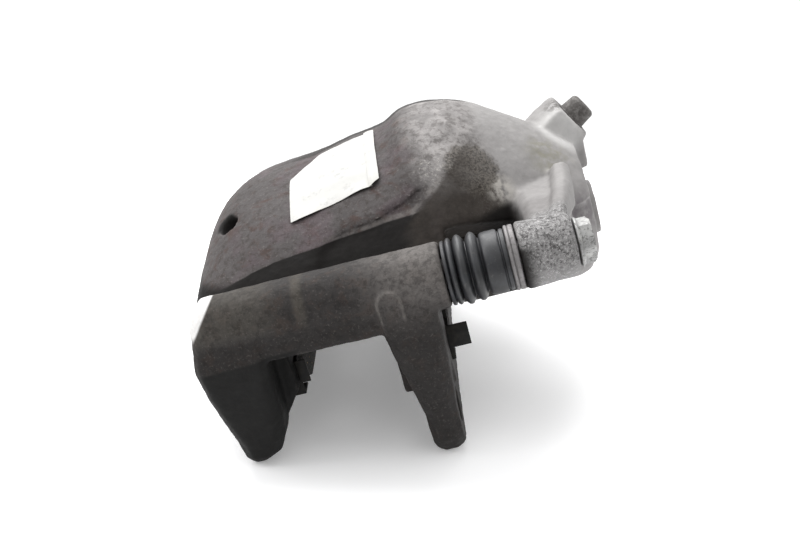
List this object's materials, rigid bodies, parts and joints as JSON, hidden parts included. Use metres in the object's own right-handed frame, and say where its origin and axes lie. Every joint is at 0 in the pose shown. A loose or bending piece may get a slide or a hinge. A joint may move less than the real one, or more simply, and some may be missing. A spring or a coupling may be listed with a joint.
{
  "type": "floating disc brake caliper",
  "caption": "Floating disc-brake caliper: cast-iron housing that slides on two booted guide pins in an iron carrier bracket, with piston, pads, clips and bleed screw.",
  "frame": {"origin": "on the carrier's mounting face, midway between the axes of its two bolt holes", "axes": "+X along the disc's axis, out of the mounting face towards the middle of the vehicle; +Y along the line through the two bolt holes; +Z away from the disc's axis, from the mounting face towards the bridge"},
  "size_m": [0.1556, 0.1714, 0.1047],
  "materials": {
    "carrier_iron": "dark rusty cast iron, dry and slightly dusty",
    "housing_iron": "used bare cast iron with dust and rust tints",
    "zinc_steel": "dull zinc plated",
    "bright_steel": "ground steel",
    "black_sheet": "black coated spring steel",
    "black_rubber": "satin black rubber",
    "friction_compound": "dark moulded friction compound",
    "label_paper": "matt white paper"
  },
  "bodies": {
    "carrier": {"carrier_bracket": "carrier_iron", "near_inboard_pad_clip": "black_sheet", "near_outboard_pad_clip": "black_sheet", "far_inboard_pad_clip": "black_sheet", "far_outboard_pad_clip": "black_sheet"},
    "housing": {"caliper_housing": "housing_iron", "near_guide_pin": "bright_steel", "near_pin_bolt": "zinc_steel", "near_pin_boot": "black_rubber", "far_guide_pin": "bright_steel", "far_pin_bolt": "zinc_steel", "far_pin_boot": "black_rubber", "piston_seal": "black_rubber", "piston_dust_boot": "black_rubber", "dust_boot_ring": "bright_steel", "bridge_label": "label_paper", "outboard_pad_backing_plate": "black_sheet", "outboard_pad_friction_block": "friction_compound", "outboard_pad_shim": "zinc_steel"},
    "piston_and_inboard_pad": {"piston": "bright_steel", "inboard_pad_backing_plate": "black_sheet", "inboard_pad_friction_block": "friction_compound", "inboard_pad_shim": "zinc_steel"},
    "bleed_screw": {"bleed_screw": "zinc_steel"},
    "bleed_cap": {"bleed_cap": "black_rubber"}
  },
  "joints": [
    {"name": "housing_slide", "type": "slide", "parent": "carrier", "child": "housing", "axis": [1, 0, 0], "range_m": [-0.004, 0.008], "deforming": ["near_pin_boot", "far_pin_boot"]},
    {"name": "piston_slide", "type": "slide", "parent": "housing", "child": "piston_and_inboard_pad", "axis": [-1, 0, 0], "range_m": [-0.006, 0.012], "deforming": ["piston_dust_boot"]},
    {"name": "bleed_screw_turn", "type": "hinge", "parent": "housing", "child": "bleed_screw", "pos_m": [0.0645, 0.014, 0.0695], "axis": [0.853, 0, 0.5219], "range_deg": [0, 270]},
    {"name": "bleed_cap_pull", "type": "slide", "parent": "bleed_screw", "child": "bleed_cap", "axis": [0.853, 0, 0.5219], "range_m": [0, 0.012]}
  ]
}
